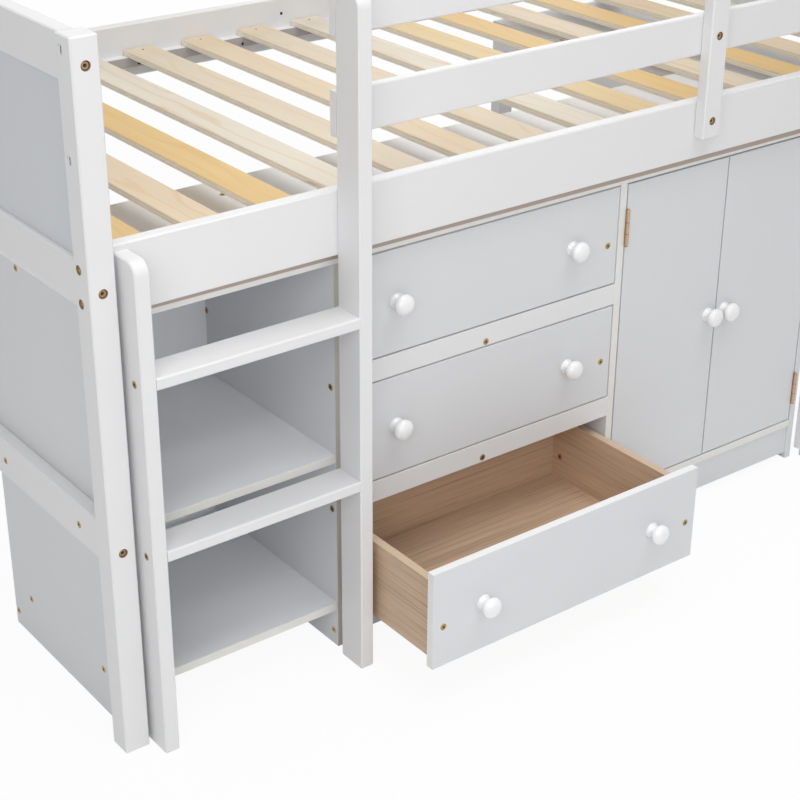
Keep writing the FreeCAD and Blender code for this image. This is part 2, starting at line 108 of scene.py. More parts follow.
# Screws on a face, in metres: two distances from its low corner, or from its high corner below 0
LOW_RAIL_SCREWS = ((0.066, 0.032), (0.318, 0.032))
SIDE_PANEL_SCREWS = ((0.076, 0.0825), (0.331, 0.0825), (0.390, 0.028), (0.260, 0.7165))
DIVIDER_SCREWS = ((0.013, 0.493), (0.013, 0.268), (0.013, 0.028), (0.391, 0.494))
DRAWER_FRONT_SCREWS = ((0.0215, 0.075), (-0.0215, 0.075))
DESK_TOP_SCREWS = ((0.013, 0.209), (0.013, -0.220), (-0.013, 0.209), (-0.013, -0.220))
STILE_SCREW_INSET = 0.021
RUNG_SCREW_INSET = 0.0095
LOWER_RAIL_SCREW_RISE = 0.009
UPPER_RAIL_SCREW_DROP = 0.031
CABINET_TOP_SCREWS_IN = (0.080, 0.332)

# Screws inside a drawer box, near the back of each side
BOX_SIDE = 0.015
BOX_SCREW_INSET = 0.035
BOX_SCREW_RISE = 0.063

# Screw heads and driver slots: heights in metres, and turns of the crossed slots in degrees. The
# slots are thin dark bars, painted shade that stands for the recess of each slot
SCREW_PROUD = 0.0004
SLOT_THICK = 0.0003
CROSS_TURNS = (35.0, 125.0)

# Flats round each kind of turned shape
KNOB_FLATS = 40
BOLT_FLATS = 28
SOCKET_FLATS = 6
SCREW_FLATS = 24
PIN_FLATS = 20
NAIL_FLATS = 12
LEDGER_SCREW_FLATS = 14

# Screws along both ledgers, counted from a first one, with their height as a share of the ledger
# and their head as a share of a nail's, and one screw in the back rail
LEDGER_FIRST_X = -0.100
LEDGER_STEPS = range(-3, 5)
LEDGER_SCREW_SHARE = 0.3
LEDGER_HEAD_SHARE = 1.5
BACK_RAIL_SCREW = (0.976, 0.073)

# Lamps: place, aim and side of the square box, in metres
LAMPS = {
    "front_lamp": ((-0.9, -2.9, 1.25), (-0.6, 0.0, 0.4), 2.0),
    "side_lamp": ((-3.0, -2.5, 2.4), (0.0, 0.0, 0.6), 1.8),
    "back_lamp": ((2.6, 2.9, 1.7), (0.0, 0.0, 0.6), 2.0),
    "top_lamp": ((-0.2, -1.0, 4.2), (0.0, 0.0, 0.6), 3.0),
}

# Floor: half its side, how far it lies below the feet, and where it turns plain white
FLOOR_HALF = 30.0
FLOOR_DROP = 0.0002
WHITE_FROM = 2.0
WHITE_OVER = 3.0

# Camera: place in metres, width of its sensor in millimetres, and how far it sees in metres
CAMERA_PLACE = (-1.99529, -2.43137, 1.72483)
SENSOR_WIDTH = 36.0
CLIP_END = 100.0


def colour_prop(name, description, default):
    """A colour that a user would change."""
    return bpy.props.FloatVectorProperty(
        name=name, description=description, default=default, size=3, min=0.0, max=1.0, subtype="COLOR")


def length_prop(name, description, default):
    """A length that a user would change."""
    return bpy.props.FloatProperty(
        name=name, description=description, default=default, min=0.0, unit="LENGTH", precision=4)


def share_prop(name, description, default):
    """A share between nothing and all."""
    return bpy.props.FloatProperty(
        name=name, description=description, default=default, min=0.0, max=1.0, subtype="FACTOR")


def angle_prop(name, description, degrees):
    """An angle that a user would change."""
    return bpy.props.FloatProperty(
        name=name, description=description, default=math.radians(degrees), subtype="ANGLE", unit="ROTATION")


def power_prop(name, description, default):
    """The strength of a light."""
    return bpy.props.FloatProperty(name=name, description=description, default=default, min=0.0)


class PaintSettings(bpy.types.PropertyGroup):
    """White paint and white laminate."""

    paint: colour_prop("Paint", "Satin paint of the frame, ladder and guard", (0.78, 0.78, 0.787))
    laminate: colour_prop("Laminate", "Board of the cabinet, doors and fronts", (0.70, 0.708, 0.727))
    # Painted shade: the end panels are set a little darker than the laminate, for the shade of their recess
    # behind the rails and posts
    end_panel: colour_prop("End panel", "Sheet in the grooves of both ends", (0.645, 0.664, 0.70))
    carcass: colour_prop("Carcass", "Faces of the boards inside the cabinet", (0.86, 0.87, 0.89))
    edge_band: colour_prop("Edge band", "Cream front edges of the cabinet boards", (0.79, 0.785, 0.755))
    # Painted shade: the left divider's faces are set greyer than the other inside boards, and its front
    # edge olive, for the shade in the open bay and the shadow of the ladder stile
    divider: colour_prop("Divider", "Greyer faces of the left divider", (0.70, 0.708, 0.727))
    shaded_divider_edge: colour_prop("Divider edge", "Olive front edge of the left divider", (0.52, 0.505, 0.455))
    # Painted light: the white back sheet is set lighter than the other boards, to stand in for light that
    # reaches the back of the open bay
    back_sheet: colour_prop("Back sheet", "Thin white sheet at the back of the cabinet", (0.90, 0.91, 0.93))
    # Painted shade: a brown tone for the shadowed gap between the side rail and the cabinet top
    gap_shade: colour_prop("Bare margin", "Bare strip on the edge of the cabinet top", (0.44, 0.36, 0.31))
    # Painted shade: the grey-brown of the ledgers' faces that do not look up stands for the shade under the
    # slat ends
    ledger: colour_prop("Ledgers", "Thin grey paint of the slat ledgers", (0.46, 0.42, 0.40))
    front_edge: colour_prop("Front edges", "White edges of the drawer fronts", (0.86, 0.86, 0.85))
    knob_white: colour_prop("Knobs", "Gloss paint of the turned knobs", (0.86, 0.86, 0.865))


class TimberSettings(bpy.types.PropertyGroup):
    """Bare and printed timber."""

    amber: colour_prop("Amber slat", "Warmest slats", (0.73, 0.515, 0.235))
    honey: colour_prop("Honey slat", "Yellowish slats", (0.735, 0.57, 0.32))
    peach: colour_prop("Peach slat", "Pinkish slats", (0.73, 0.595, 0.43))
    beige: colour_prop("Beige slat", "Middling slats", (0.72, 0.62, 0.475))
    pale: colour_prop("Pale slat", "Lightest slats", (0.735, 0.67, 0.56))
    figure: colour_prop("Slat figure", "Orange lines in the slat faces", (0.66, 0.40, 0.16))
    # The ply layers are real; both layer tones are set lighter than the slat faces as painted light, to
    # make up for the shade between the slats
    lit_ply_dark: colour_prop("Ply, dark layer", "Cross layers at the slat edges", (0.80, 0.69, 0.53))
    lit_ply_light: colour_prop("Ply, light layer", "Long layers at the slat edges", (0.92, 0.85, 0.72))
    oak: colour_prop("Oak", "Printed oak of the drawer boxes", (0.65, 0.475, 0.34))
    oak_dark: colour_prop("Oak pores", "Dark lines in the printed oak", (0.38, 0.25, 0.165))
    beech: colour_prop("Beech edge", "Pale top edges of the drawer boxes", (0.64, 0.485, 0.35))
    raw_wood: colour_prop("Raw wood", "Unpainted wall of a bolt recess", (0.34, 0.205, 0.13))


class FastenerSettings(bpy.types.PropertyGroup):
    """Bolts, screws, nails and hinges."""

    brass: colour_prop("Brass", "Heads of the screws", (0.46, 0.33, 0.12))
    bronze: colour_prop("Bronze", "Leaves and knuckles of the hinges", (0.56, 0.385, 0.25))
    copper: colour_prop("Bolt plating", "Heads of the frame bolts", (0.46, 0.32, 0.18))
    # The dark tone is the real colour of the nails and ledger screws, and painted shade in the sockets,
    # driver slots and hinge seams
    dark: colour_prop("Dark metal", "Sockets, driver slots, nails and seams", (0.05, 0.04, 0.035))
    bolt_radius: length_prop("Bolt head radius", "Round head of a frame bolt", 0.0058)
    recess_radius: length_prop("Recess radius", "Recess for a bolt head in a post", 0.0075)
    recess_depth: length_prop("Recess depth", "Depth of that recess", 0.007)
    screw_radius: length_prop("Screw head radius", "Countersunk screws in the boards", 0.0060)
    nail_radius: length_prop("Nail head radius", "Nails in the slats", 0.0022)
    nail_inset: length_prop("Nail inset", "From the end of a slat to its nail", 0.020)
    ledger_pitch: length_prop("Ledger screw pitch", "From one ledger screw to the next", 0.245)
    hinge_length: length_prop("Hinge length", "Length of a butt hinge", 0.065)
    hinge_knuckles: bpy.props.IntProperty(
        name="Hinge knuckles", description="Knuckles on the pin of a hinge", default=3, min=1)


class StageSettings(bpy.types.PropertyGroup):
    """Studio and camera."""

    floor: colour_prop("Floor", "Pale studio floor", (0.86, 0.86, 0.86))
    floor_glow: share_prop("Floor whiteness", "Share of plain white in the floor near the bed", 0.93)
    sky: power_prop("Soft light", "Even light from all round", 0.38)
    front_lamp: power_prop("Front lamp", "Soft box in front, in watts", 14.0)
    side_lamp: power_prop("Side lamp", "Soft box at the front left, in watts", 34.0)
    top_lamp: power_prop("Top lamp", "Soft box overhead, in watts", 82.0)
    back_lamp: power_prop("Back lamp", "Soft box behind and to the right, in watts", 30.0)
    lens: bpy.props.FloatProperty(
        name="Lens", description="Focal length of the camera", default=78.2, unit="CAMERA")
    pitch: angle_prop("Camera pitch", "Tilt up from looking straight down", 63.32)
    roll: angle_prop("Camera roll", "Lean of the camera", -0.315)
    heading: angle_prop("Camera heading", "Turn of the camera about the upright", -37.19)


class Shade:
    """A socket in a material; arithmetic on values adds the Math nodes that work it out."""

    def __init__(self, tree, socket=None):
        self.tree = tree
        self.socket = socket

    def node(self, kind, settings=None, sockets=None, output=0):
        """Add a node: its settings first, then the values or links of its sockets."""
        made = self.tree.nodes.new(kind)
        for name, value in (settings or {}).items():
            if name == "stops":
                self._set_stops(made.color_ramp, value)
            elif name == "interpolation":
                made.color_ramp.interpolation = value
            else:
                setattr(made, name, value)
        for name, value in (sockets or {}).items():
            if isinstance(value, Shade):
                self.tree.links.new(value.socket, made.inputs[name])
            else:
                made.inputs[name].default_value = value
        return Shade(self.tree, made.outputs[output] if made.outputs else None)

    @staticmethod
    def _set_stops(ramp, stops):
        """Spread colours along a ramp."""
        while len(ramp.elements) < len(stops):
            ramp.elements.new(1.0)
        for element, (position, colour) in zip(ramp.elements, stops):
            element.position = position
            element.color = (*colour, 1.0)

    @staticmethod
    def _colour(value):
        """A plain colour made solid, or a socket as it is."""
        return value if isinstance(value, Shade) else (*value, 1.0)

    def outputs(self, *names):
        """The named outputs of the node that this socket is on."""
        return [Shade(self.tree, self.socket.node.outputs[name]) for name in names]

    def math(self, operation, *values):
        """A Math node on values."""
        return self.node("ShaderNodeMath", {"operation": operation}, dict(enumerate(values)))

    def __add__(self, other):
        return self.math("ADD", self, other)

    def __radd__(self, other):
        return self.math("ADD", other, self)

    def __sub__(self, other):
        return self.math("SUBTRACT", self, other)

    def __rsub__(self, other):
        return self.math("SUBTRACT", other, self)

    def __mul__(self, other):
        return self.math("MULTIPLY", self, other)

    def __rmul__(self, other):
        return self.math("MULTIPLY", other, self)

    def __truediv__(self, other):
        return self.math("DIVIDE", self, other)

    def __rtruediv__(self, other):
        return self.math("DIVIDE", other, self)

    def __abs__(self):
        return self.math("ABSOLUTE", self)

    def __gt__(self, other):
        return self.math("GREATER_THAN", self, other)

    def __lt__(self, other):
        return self.math("LESS_THAN", self, other)

    def clamped(self):
        """The value kept between 0 and 1."""
        return self.node("ShaderNodeClamp", None, {"Value": self})

    def axes(self):
        """The three parts of a vector."""
        return self.node("ShaderNodeSeparateXYZ", None, {0: self}).outputs("X", "Y", "Z")

    def stretched(self, x, y, z):
        """A vector with each part multiplied."""
        return self.node("ShaderNodeVectorMath", {"operation": "MULTIPLY"}, {0: self, 1: (x, y, z)})

    def joined(self, x, y, z):
        """A vector from three values."""
        return self.node("ShaderNodeCombineXYZ", None, {0: x, 1: y, 2: z})

    def mixed(self, factor, first, second):
        """One colour turned into another by a factor."""
        return self.node("ShaderNodeMix", {"data_type": "RGBA"}, {
            0: factor, 6: self._colour(first), 7: self._colour(second)}, 2)

    def darkened(self, colour, factor):
        """A colour multiplied by a value."""
        grey = self.joined(factor, factor, factor)
        return self.node("ShaderNodeMix", {"data_type": "RGBA", "blend_type": "MULTIPLY"}, {
            0: 1.0, 6: self._colour(colour), 7: grey}, 2)

    def noise(self, vector, scale, detail=2.0, roughness=0.5):
        """Cloudy values between 0 and 1."""
        return self.node("ShaderNodeTexNoise", None, {
            "Vector": vector, "Scale": scale, "Detail": detail, "Roughness": roughness})

    def bump(self, height, strength, distance):
        """A normal from a height."""
        return self.node("ShaderNodeBump", None, {
            "Height": height, "Strength": strength, "Distance": distance})


def new_material(name):
    """An empty material, its tools, its place vector and its face direction."""
    material = bpy.data.materials.new(name)
    material.use_nodes = True
    material.node_tree.nodes.clear()
    tools = Shade(material.node_tree)
    place, facing = tools.node("ShaderNodeTexCoord").outputs("Object", "Normal")
    return material, tools, place, facing


def close_material(tools, colour, roughness, normal, **fixed):
    """The surface shader, with varying colour, roughness and normal, and fixed other sockets."""
    sockets = {"Base Color": colour, "Roughness": roughness, "Normal": normal}
    sockets.update({name.replace("_", " "): value for name, value in fixed.items()})
    surface = tools.node("ShaderNodeBsdfPrincipled", None, sockets)
    tools.node("ShaderNodeOutputMaterial", None, {"Surface": surface})


def painted(name, colour, tint=0.02):
    """Satin paint: faint clouding, brush drag and a fine orange peel."""
    material, tools, place, _ = new_material(name)
    cloud = tools.noise(place, 6.0, 3.0)
    drag = tools.noise(place.stretched(30.0, 30.0, 260.0), 1.0, 3.0)
    peel = tools.noise(place, 620.0, 2.0)
    shade = 1.0 - tint + cloud * tint + drag * (tint * 0.6)
    base = tools.darkened(colour, shade)
    bump = tools.bump(peel, 0.10, 0.0004)
    close_material(tools, base, 0.36 + cloud * 0.12, bump, Specular_IOR_Level=0.42)
    return material


def laminate(name, colour, edge=None, gap_shade_tone=None, lip=None):
    """Smooth laminate.

    edge is the tone of the edges that look forwards, and the tone after it is painted shade: a brown strip
    on the upper part of those edges that stands for the shadowed gap under the side rail; lip is the tone
    of every face that looks neither forwards nor back.
    """
    material, tools, place, facing = new_material(name)
    cloud = tools.noise(place, 3.0, 2.0)
    tooth = tools.noise(place, 1500.0, 2.0)
    base = tools.darkened(colour, 0.985 + cloud * 0.03)
    if lip is not None:
        base = tools.mixed(abs(facing.axes()[1]) > FACING, lip, base)
    if edge is not None:
        streak = tools.noise(place.stretched(14.0, 300.0, 14.0), 1.0, 3.0)
        band = tools.darkened(edge, 0.95 + streak * 0.10)
        base = tools.mixed(facing.axes()[1] < -FACING, base, band)
    if gap_shade_tone is not None:
        # Painted shade: a brown strip on the upper part of the forward edge, wider towards the right, for
        # the shadowed gap under the side rail
        low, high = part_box("cabinet_top")
        x, _, z = place.axes()
        start = GAP_SHADE_START - ((x - low.x) / (high.x - low.x)).clamped() * GAP_SHADE_DROP
        gap_shade_mask = (z - low.z > start * (high.z - low.z)) * (facing.axes()[1] < -FACING)
        base = tools.mixed(gap_shade_mask, base, gap_shade_tone)
    bump = tools.bump(tooth, 0.06, 0.0002)
    close_material(tools, base, 0.42 + tooth * 0.08, bump, Specular_IOR_Level=0.40)
    return material


def gloss_paint(name, colour):
    """Gloss paint of a turned knob, with faint lathe rings."""
    material, tools, place, _ = new_material(name)
    cloud = tools.noise(place, 40.0, 2.0)
    rings = tools.noise(place.stretched(0.0, 900.0, 0.0), 1.0, 2.0)
    base = tools.darkened(colour, 0.985 + cloud * 0.03)
    close_material(tools, base, 0.13 + cloud * 0.06, tools.bump(rings, 0.04, 0.0002), Coat_Weight=0.35)
    return material


def slat_wood(name, timber):
    """Plywood slats: one tone each, grain along the slat, layered edges."""
    material, tools, place, facing = new_material(name)
    x, y, z = place.axes()
    first, _, pitch = slat_layout()
    along = (x - (first - pitch / 2)) / (pitch * SLAT_COUNT)
    stops = [(index / SLAT_COUNT, getattr(timber, tone)) for index, tone in enumerate(SLAT_TONES)]
    tone = tools.node("ShaderNodeValToRGB", {"interpolation": "CONSTANT", "stops": stops}, {"Fac": along})
    own = tools.math("FLOOR", along * SLAT_COUNT)
    shifted = tools.joined(x + own * 0.37, y + own * 1.3, z)
    sway = tools.noise(shifted.stretched(9.0, 1.6, 1.0), 1.0, 2.0)
    rings = tools.noise(shifted.stretched(34.0, 1.1, 10.0), 1.0, 4.0, 0.6)
    figure = tools.node("ShaderNodeTexWave", {"wave_type": "BANDS", "bands_direction": "X"}, {
        "Vector": shifted.stretched(1.0, 0.20, 1.0), "Scale": 7.0, "Distortion": 11.0,
        "Detail": 2.0, "Detail Scale": 1.6}, "Fac")
    pores = tools.noise(shifted.stretched(900.0, 22.0, 300.0), 1.0, 2.0)
    shade = 0.93 + rings * 0.18 + sway * 0.10 - pores * 0.10
    stain = ((tools.noise(shifted.stretched(16.0, 4.0, 4.0), 1.0, 3.0) - 0.55) * 3.0).clamped() * 0.30
    lines = ((figure - 0.88) * 8.0).clamped() * ((sway - 0.25) * 0.9)
    face = tools.mixed(stain, tools.darkened(tone, shade), timber.amber)
    face = tools.mixed(lines.clamped(), face, timber.figure)
    layer = tools.math("SINE", z * (2 * math.pi / TWO_PLIES))
    # Ply layers on the edges, in tones lifted as painted light against the shade between slats
    layers = tools.mixed((layer * 0.5 + 0.5).clamped(), timber.lit_ply_dark, timber.lit_ply_light)
    rough_edge = tools.noise(place.stretched(200.0, 26.0, 500.0), 1.0, 3.0)
    gaps = ((tools.noise(place.stretched(3.0, 12.0, 260.0), 1.0, 2.0) - 0.66) * 9.0).clamped()
    edge = tools.darkened(layers, 0.82 + rough_edge * 0.36 - gaps * 0.45)
    base = tools.mixed(abs(facing.axes()[2]) > FACING, edge, face)
    bump = tools.bump(pores * 0.5 + rings * 0.5, 0.14, 0.0006)
    close_material(tools, base, 0.52 + rings * 0.16, bump, Specular_IOR_Level=0.3)
    return material


def printed_oak(name, timber, edges_up):
    """Oak print: grain runs level along each board, and box edges that face up are pale beech."""
    material, tools, place, facing = new_material(name)
    x, y, z = place.axes()
    side = abs(facing.axes()[0]) > FACING
    flat = abs(facing.axes()[2]) > FACING
    long_way = x + side * (y - x)
    cross_way = z + flat * (y - z)
    grain_place = tools.joined(long_way, cross_way, side * 3.1 + flat * 7.7)
    streak = tools.noise(grain_place.stretched(3.0, 190.0, 1.0), 1.0, 5.0, 0.62)
    fine = tools.noise(grain_place.stretched(14.0, 950.0, 1.0), 1.0, 2.0)
    sway = tools.noise(grain_place.stretched(2.2, 16.0, 1.0), 1.0, 2.0)
    lines = tools.noise(grain_place.stretched(1.1, 75.0, 1.0), 1.0, 3.0, 0.5)
    pores = ((streak - 0.50) * 5.0).clamped() * 0.55 + ((fine - 0.50) * 5.0).clamped() * 0.35
    pores = pores + ((lines - 0.58) * 9.0).clamped() * 0.32
    board = tools.mixed(pores.clamped(), timber.oak, timber.oak_dark)
    board = tools.darkened(board, 0.90 + sway * 0.24)
    if edges_up:
        beech = tools.darkened(timber.beech, 0.92 + fine * 0.16)
        board = tools.mixed(facing.axes()[2] > FACING, board, beech)
    bump = tools.bump(streak * 0.6 + fine * 0.4, 0.10, 0.0004)
    close_material(tools, board, 0.48 + streak * 0.14, bump, Specular_IOR_Level=0.35)
    return material


def pine(name, colour, top=None):
    """Planed pine painted thin, with long soft grain; top is the tone of faces that look up."""
    material, tools, place, facing = new_material(name)
    grain = tools.noise(place.stretched(2.0, 90.0, 90.0), 1.0, 4.0, 0.6)
    tone = colour if top is None else tools.mixed(facing.axes()[2] > FACING, colour, top)
    base = tools.darkened(tone, 0.93 + grain * 0.12)
    close_material(tools, base, 0.5 + grain * 0.1, tools.bump(grain, 0.1, 0.0005), Specular_IOR_Level=0.35)
    return material


def plated(name, colour, roughness):
    """Plated metal with fine tarnish."""
    material, tools, place, _ = new_material(name)
    tarnish = tools.noise(place, 260.0, 3.0)
    base = tools.darkened(colour, 0.72 + tarnish * 0.5)
    scratch = tools.noise(place.stretched(700.0, 700.0, 90.0), 1.0, 2.0)
    close_material(tools, base, roughness + tarnish * 0.18, tools.bump(scratch, 0.1, 0.0002), Metallic=0.9)
    return material


def raw_recess(name, colour):
    """Bare end grain in the wall of a drilled recess."""
    material, tools, place, _ = new_material(name)
    grain = tools.noise(place.stretched(500.0, 500.0, 120.0), 1.0, 3.0)
    base = tools.darkened(colour, 0.8 + grain * 0.4)
    close_material(tools, base, 0.75 + grain * 0.1, tools.bump(grain, 0.2, 0.0005))
    return material


def seen_directly(tools):
    """1 for what the camera sees straight on, in a mirror or through glass, else 0."""
    camera, mirror, glass = tools.node("ShaderNodeLightPath").outputs(
        "Is Camera Ray", "Is Glossy Ray", "Is Transmission Ray")
    return (camera + mirror + glass).clamped()


def dress(material, *nodes):
    """Give carried-over pieces their material."""
    for node in nodes:
        piece = frame["nodes"][node]
        for slot in piece.material_slots:
            slot.material = material


def slat_layout():
    """Middle of the first slat along the bed, width of a slat, and pitch from slat to slat."""
    places = []
    for x in sorted(vertex.co.x for vertex in frame["nodes"]["bed_slats"].data.vertices):
        if not places or x - places[-1] > CORNER_STEP:
            places.append(x)
    width = places[len(places) // SLAT_COUNT - 1] - places[0]
    low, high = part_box("bed_slats")
    return low.x + width / 2, width, (high.x - low.x - width) / (SLAT_COUNT - 1)


def link_piece(name, mesh, material, body, smooth_angle=CRISP):
    """Put a new mesh in the scene, smooth it, and let it ride on its body."""
    mesh.materials.append(material)
    mesh.set_sharp_from_angle(angle=math.radians(smooth_angle))
    mesh.polygons.foreach_set("use_smooth", [True] * len(mesh.polygons))
    piece = bpy.data.objects.new(name, mesh)
    bpy.context.scene.collection.objects.link(piece)
    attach(piece, body)
    return piece


def seat_at(place, direction):
    """The matrix that stands a shape on a place, with its Z along a direction."""
    return Matrix.Translation(place) @ direction.to_track_quat("Z", "Y").to_matrix().to_4x4()


def close_mesh(name, shape):
    """A mesh from a finished edit shape."""
    mesh = bpy.data.meshes.new(name)
    shape.to_mesh(mesh)
    shape.free()
    return mesh


def turned_mesh(name, outline, spots, steps):
    """Copies of an outline of (radius, height) spun round an axis, one at each (place, direction)."""
    shape = bmesh.new()
    for place, direction in spots:
        seat = seat_at(place, direction)
        rings = []
        for radius, height in outline:
            if radius == 0:
                rings.append([shape.verts.new(seat @ Vector((0, 0, height)))])
                continue
            ring = []
            for index in range(steps):
                angle = 2 * math.pi * index / steps
                corner = Vector((radius * math.cos(angle), radius * math.sin(angle), height))
                ring.append(shape.verts.new(seat @ corner))
            rings.append(ring)
        for lower, upper in zip(rings, rings[1:]):
            for index in range(steps):
                after = (index + 1) % steps
                corners = [lower[index % len(lower)], lower[after % len(lower)]]
                corners += [upper[after % len(upper)], upper[index % len(upper)]]
                shape.faces.new(list(dict.fromkeys(corners)))
    bmesh.ops.recalc_face_normals(shape, faces=shape.faces)
    return close_mesh(name, shape)


def bar_mesh(name, spots, turns, reach, half_width, height):
    """Thin bars for painted shade of driver slots: one for each turn in degrees at each (place, direction).
    """
    shape = bmesh.new()
    size = Matrix.Diagonal((2 * reach, 2 * half_width, SLOT_THICK, 1.0))
    for place, direction in spots:
        seat = seat_at(place, direction)
        for turn in turns:
            arm = Matrix.Rotation(math.radians(turn), 4, "Z") @ Matrix.Translation((0, 0, height))
            bmesh.ops.create_cube(shape, size=1.0, matrix=seat @ arm @ size)
    return close_mesh(name, shape)


def on_face(node, axis, sign, first, second):
    """A place on a node's box face and the way out of it.

    first and second are distances from the low corner along the other two axes; below 0 they count
    from the high corner.
    """
    low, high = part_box(node)
    place = Vector(low)
    index = AXES[axis]
    others = [other for other in range(3) if other != index]
    for other, distance in zip(others, (first, second)):
        place[other] = low[other] + distance if distance >= 0 else high[other] + distance
    place[index] = high[index] if sign > 0 else low[index]
    way = Vector((0, 0, 0))
    way[index] = sign
    return place, way


def knob_outline(reach, radius):
    """Foot, waist and ball head of a turned knob, from its foot outwards."""
    shares = (
        (0.76, 0.0), (0.765, 0.045), (0.735, 0.085), (0.655, 0.14), (0.57, 0.20), (0.52, 0.27),
        (0.53, 0.325), (0.60, 0.375), (0.73, 0.43), (0.86, 0.495), (0.95, 0.57), (0.993, 0.65),
        (0.995, 0.72), (0.955, 0.795), (0.87, 0.865), (0.735, 0.925), (0.55, 0.968), (0.29, 0.993),
        (0.0, 1.0),
    )
    return [(radius * wide, reach * out) for wide, out in shares]


def lining_outline(radius, floor):
    """Thin wall and floor of a bolt recess."""
    inner = radius - LINING_WALL
    return [(radius, -RECESS_PLAY), (inner, -RECESS_PLAY), (inner, floor), (0, floor)]


def bolt_outline(radius, floor):
    """Round bolt head that stands on the floor of its recess, with a sunk middle."""
    return [
        (radius, floor + RECESS_PLAY), (radius, BOLT_TOP - 0.0008), (radius - 0.0008, BOLT_TOP),
        (radius * 0.56, BOLT_TOP), (radius * 0.50, BOLT_TOP - 0.0004), (radius * 0.46, BOLT_TOP - 0.0024),
        (0, BOLT_TOP - 0.0026),
    ]


def socket_outline(radius):
    """Dark disc at the floor of the driver socket in a bolt head, painted shade of the deep socket."""
    return [(radius * 0.44, BOLT_TOP - 0.0023), (0, BOLT_TOP - 0.0021)]


def plug_outline(radius, floor):
    """Plug that fills a recess, with an eased rim."""
    rim = radius - PLUG_EASE
    return [(radius, floor), (radius, PLUG_TOP - PLUG_EASE), (rim, PLUG_TOP), (0, PLUG_TOP)]


def screw_outline(radius):
    """Low countersunk screw head."""
    return [
        (radius, -SCREW_PROUD), (radius, SCREW_PROUD * 0.4), (radius * 0.9, SCREW_PROUD),
        (radius * 0.45, SCREW_PROUD * 1.5), (0, SCREW_PROUD * 1.7),
    ]


def nail_outline(radius):
    """Flat nail head with an eased rim."""
    return [(radius, -0.0003), (radius, 0.0002), (radius * 0.7, 0.0004), (0, 0.0005)]


def pin_tip_outline(radius):
    """Domed tip of a hinge pin."""
    return [
        (radius, 0.0), (radius * 0.96, 0.0010), (radius * 0.72, 0.0024), (radius * 0.38, 0.0031),
        (0, 0.0033),
    ]


def seam_outline(radius):
    """Dark ring between two hinge knuckles, painted shade of the gap between them."""
    inner, outer, half = radius * 0.6, radius * 1.03, 0.0004
    return [(inner, -half), (outer, -half), (outer, half), (inner, half)]


class LOFTBED_OT_paint(bpy.types.Operator):
    """Paint the posts, rails, ladder, guard and desk frame"""

    bl_idname = "loftbed.paint"
    bl_label = "Paint the frame"

    def execute(self, context):
        paint = painted("satin_white_paint", context.scene.loftbed_paint.paint)
        for end in ENDS:
            for side in SIDES:
                dress(paint, "%s_%s_post" % (side, end))
            for level in END_RAIL_LEVELS:
                dress(paint, "%s_%s_rail" % (end, level))
        dress(paint, "front_side_rail", "back_side_rail")
        dress(paint, "ladder_left_stile", "ladder_right_stile", "ladder_rungs")
        dress(paint, *GUARD_BOARDS, "guard_post")
        dress(paint, "desk_legs", "desk_aprons", "desk_feet", "drawer_rails")
        return {"FINISHED"}


class LOFTBED_OT_panels(bpy.types.Operator):
    """Face the cabinet, doors, fronts, desk top and end panels with laminate"""

    bl_idname = "loftbed.panels"
    bl_label = "Face the panels"

    def execute(self, context):
        settings = context.scene.loftbed_paint
        edge = settings.edge_band
        board = laminate("white_laminate", settings.laminate)
        front = laminate("front_laminate", settings.laminate, lip=settings.front_edge)
        # The end sheet is a little darker than the laminate as painted shade of its recess
        sheet = laminate("end_sheet", settings.end_panel)
        carcass = laminate("carcass_laminate", settings.carcass, edge)
        # The cabinet top carries a strip of painted shade on its front edge
        topped = laminate("cabinet_top_laminate", settings.carcass, edge, settings.gap_shade)
        # The divider's greyer faces and olive front edge are painted shade
        divider = laminate("divider_laminate", settings.divider, settings.shaded_divider_edge)
        # The back sheet is lighter than the other boards as painted light
        back = laminate("back_sheet", settings.back_sheet)
        dress(sheet, "left_end_panel", "right_end_panel")
        dress(board, "cabinet_left_panel", "cabinet_right_panel", "desk_top", "toe_skirts")
        dress(board, "left_door", "right_door")
        dress(front, *("drawer_%d_front" % number for number in DRAWERS))
        dress(topped, "cabinet_top")
        dress(divider, "cabinet_left_divider")
        dress(back, "cabinet_back")
        dress(carcass, "cabinet_right_divider", "open_bay_bottom", "open_bay_shelf")
        dress(carcass, "cupboard_bottom", "cupboard_shelf")
        return {"FINISHED"}


class LOFTBED_OT_timber(bpy.types.Operator):
    """Give the slats, ledgers, runners and drawer boxes their timber"""

    bl_idname = "loftbed.timber"
    bl_label = "Grain the timber"

    def execute(self, context):
        settings = context.scene.loftbed_timber
        paint = context.scene.loftbed_paint
        dress(slat_wood("plywood_slats", settings), "bed_slats")
        box_oak = printed_oak("oak_box", settings, edges_up=True)
        floor_oak = printed_oak("oak_floor", settings, edges_up=False)
        for number in DRAWERS:
            dress(box_oak, "drawer_%d_box" % number)
            dress(floor_oak, "drawer_%d_bottom" % number)
        # The ledgers' sides carry painted shade; their tops keep the white paint
        dress(pine("grey_pine", paint.ledger, paint.paint), "slat_ledgers")
        dress(pine("painted_pine", paint.paint), "drawer_runners")
        return {"FINISHED"}


